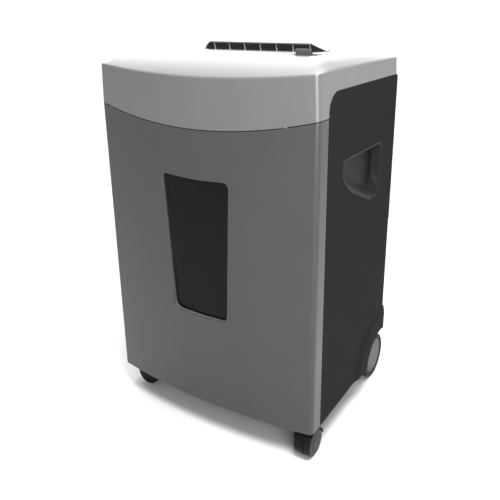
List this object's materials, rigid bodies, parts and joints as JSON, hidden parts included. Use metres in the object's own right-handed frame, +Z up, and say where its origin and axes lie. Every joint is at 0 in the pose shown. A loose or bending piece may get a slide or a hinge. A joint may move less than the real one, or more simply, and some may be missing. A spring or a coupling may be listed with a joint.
{
  "type": "paper shredder",
  "caption": "Cross-cut paper shredder on wheels, with a pull-out waste bin, a smoked bin window, side finger pockets and a hooded feed throat.",
  "frame": {"origin": "centre of the footprint, on the floor", "axes": "+Z up, front face towards -Y, the machine's left and right along X"},
  "size_m": [0.388, 0.321, 0.6065],
  "materials": {
    "silver_shell": "satin light silver",
    "silver_front": "satin darker silver",
    "charcoal_shell": "fine grained charcoal",
    "rib_grey": "satin",
    "black_plastic": "satin",
    "caster_plastic": "satin",
    "knob_grey": "satin",
    "lens": "smooth translucent strip",
    "smoked_glass": "smooth smoked",
    "bin_plastic": "lightly grained",
    "zinc_steel": "zinc plated sheet",
    "machined_steel": "turned",
    "hard_steel": "hardened and oiled",
    "gear_nylon": "moulded nylon",
    "bush_bronze": "sintered",
    "rotor_steel": "laminated",
    "board_green": "lacquered",
    "plunger_red": "smooth",
    "tyre_rubber": "smooth tread",
    "hub_grey": "satin grey"
  },
  "bodies": {
    "cabinet": {"top_cover": "silver_shell", "throat_liner": "knob_grey", "throat_hood": "silver_shell", "guide_ribs": "rib_grey", "switch_bezel": "black_plastic", "indicator_lens": "lens", "head_deck": "zinc_steel", "front_rail": "zinc_steel", "side_panel_left": "charcoal_shell", "side_panel_right": "charcoal_shell", "handle_cup_left": "black_plastic", "handle_cup_right": "black_plastic", "rear_panel_lower": "charcoal_shell", "rear_panel_upper": "charcoal_shell", "rear_screws": "machined_steel", "cord_grommet": "black_plastic", "base_tray": "bin_plastic", "bin_rails": "zinc_steel", "cutter_side_plates": "zinc_steel", "tie_rods": "machined_steel", "cutter_bushes": "bush_bronze", "stripper_combs": "black_plastic", "idler_pins": "machined_steel", "gear_cover": "black_plastic", "motor_housing": "zinc_steel", "circuit_board": "board_green", "paper_sensors": "black_plastic", "door_switch_body": "black_plastic", "caster_sockets": "caster_plastic", "axle_brackets": "zinc_steel", "rear_axle": "machined_steel"},
    "drawer": {"drawer_front": "silver_front", "window_pane": "smoked_glass", "window_frame": "black_plastic", "waste_bin": "bin_plastic"},
    "switch_slider": {"switch_knob": "knob_grey"},
    "door_plunger": {"door_switch_plunger": "plunger_red"},
    "front_cutter": {"front_cutter_shaft": "machined_steel", "front_cutter_discs": "hard_steel", "front_sync_gear": "hard_steel"},
    "rear_cutter": {"rear_cutter_shaft": "machined_steel", "rear_cutter_discs": "hard_steel", "rear_sync_gear": "hard_steel", "drive_gear": "hard_steel"},
    "second_idler": {"second_idler_gear": "gear_nylon"},
    "first_idler": {"first_idler_gear": "gear_nylon"},
    "motor_spindle": {"motor_rotor": "rotor_steel", "motor_fan": "black_plastic"},
    "caster_left": {"caster_hood_left": "caster_plastic", "caster_pins_left": "machined_steel"},
    "caster_right": {"caster_hood_right": "caster_plastic", "caster_pins_right": "machined_steel"},
    "caster_wheel_left_outer": {"caster_wheel_left_outer": "caster_plastic"},
    "caster_wheel_left_inner": {"caster_wheel_left_inner": "caster_plastic"},
    "caster_wheel_right_inner": {"caster_wheel_right_inner": "caster_plastic"},
    "caster_wheel_right_outer": {"caster_wheel_right_outer": "caster_plastic"},
    "rear_wheel_left": {"rear_tyre_left": "tyre_rubber", "rear_hub_left": "hub_grey"},
    "rear_wheel_right": {"rear_tyre_right": "tyre_rubber", "rear_hub_right": "hub_grey"}
  },
  "joints": [
    {"name": "drawer_slide", "type": "slide", "parent": "cabinet", "child": "drawer", "axis": [0, -1, 0], "range_m": [0, 0.25]},
    {"name": "switch_slide", "type": "slide", "parent": "cabinet", "child": "switch_slider", "axis": [1, 0, 0], "range_m": [0, 0.009]},
    {"name": "door_switch_press", "type": "slide", "parent": "cabinet", "child": "door_plunger", "axis": [0, 1, 0], "range_m": [0, 0.004], "stiffness_N_per_m": 300, "springref_m": -0.002},
    {"name": "rear_cutter_spin", "type": "hinge", "parent": "cabinet", "child": "rear_cutter", "pos_m": [0, 0.027, 0.53], "axis": [1, 0, 0], "continuous": true},
    {"name": "front_cutter_spin", "type": "hinge", "parent": "cabinet", "child": "front_cutter", "pos_m": [0, -0.003, 0.53], "axis": [1, 0, 0], "continuous": true},
    {"name": "second_idler_spin", "type": "hinge", "parent": "cabinet", "child": "second_idler", "pos_m": [0, 0.0671, 0.5487], "axis": [1, 0, 0], "continuous": true},
    {"name": "first_idler_spin", "type": "hinge", "parent": "cabinet", "child": "first_idler", "pos_m": [0, 0.09679, 0.52379], "axis": [1, 0, 0], "continuous": true},
    {"name": "motor_spin", "type": "hinge", "parent": "cabinet", "child": "motor_spindle", "pos_m": [0, 0.09975, 0.48992], "axis": [1, 0, 0], "continuous": true},
    {"name": "caster_swivel_left", "type": "hinge", "parent": "cabinet", "child": "caster_left", "pos_m": [-0.1745, -0.1096, 0.047], "axis": [0, 0, 1], "continuous": true},
    {"name": "caster_swivel_right", "type": "hinge", "parent": "cabinet", "child": "caster_right", "pos_m": [0.1745, -0.1096, 0.047], "axis": [0, 0, 1], "continuous": true},
    {"name": "caster_roll_left_outer", "type": "hinge", "parent": "caster_left", "child": "caster_wheel_left_outer", "pos_m": [-0.1575, -0.1096, 0.0225], "axis": [0, 1, 0], "continuous": true},
    {"name": "caster_roll_left_inner", "type": "hinge", "parent": "caster_left", "child": "caster_wheel_left_inner", "pos_m": [-0.1575, -0.1096, 0.0225], "axis": [0, 1, 0], "continuous": true},
    {"name": "caster_roll_right_outer", "type": "hinge", "parent": "caster_right", "child": "caster_wheel_right_outer", "pos_m": [0.1745, -0.1266, 0.0225], "axis": [1, 0, 0], "continuous": true},
    {"name": "caster_roll_right_inner", "type": "hinge", "parent": "caster_right", "child": "caster_wheel_right_inner", "pos_m": [0.1745, -0.1266, 0.0225], "axis": [1, 0, 0], "continuous": true},
    {"name": "rear_roll_left", "type": "hinge", "parent": "cabinet", "child": "rear_wheel_left", "pos_m": [-0.174, 0.1195, 0.041], "axis": [1, 0, 0], "continuous": true},
    {"name": "rear_roll_right", "type": "hinge", "parent": "cabinet", "child": "rear_wheel_right", "pos_m": [0.174, 0.1195, 0.041], "axis": [1, 0, 0], "continuous": true}
  ],
  "couplings": [
    {"joint": "front_cutter_spin", "follows": "rear_cutter_spin", "ratio": -1},
    {"joint": "second_idler_spin", "follows": "rear_cutter_spin", "ratio": -3.2143},
    {"joint": "first_idler_spin", "follows": "rear_cutter_spin", "ratio": 11.02},
    {"joint": "motor_spin", "follows": "rear_cutter_spin", "ratio": -51.429}
  ]
}
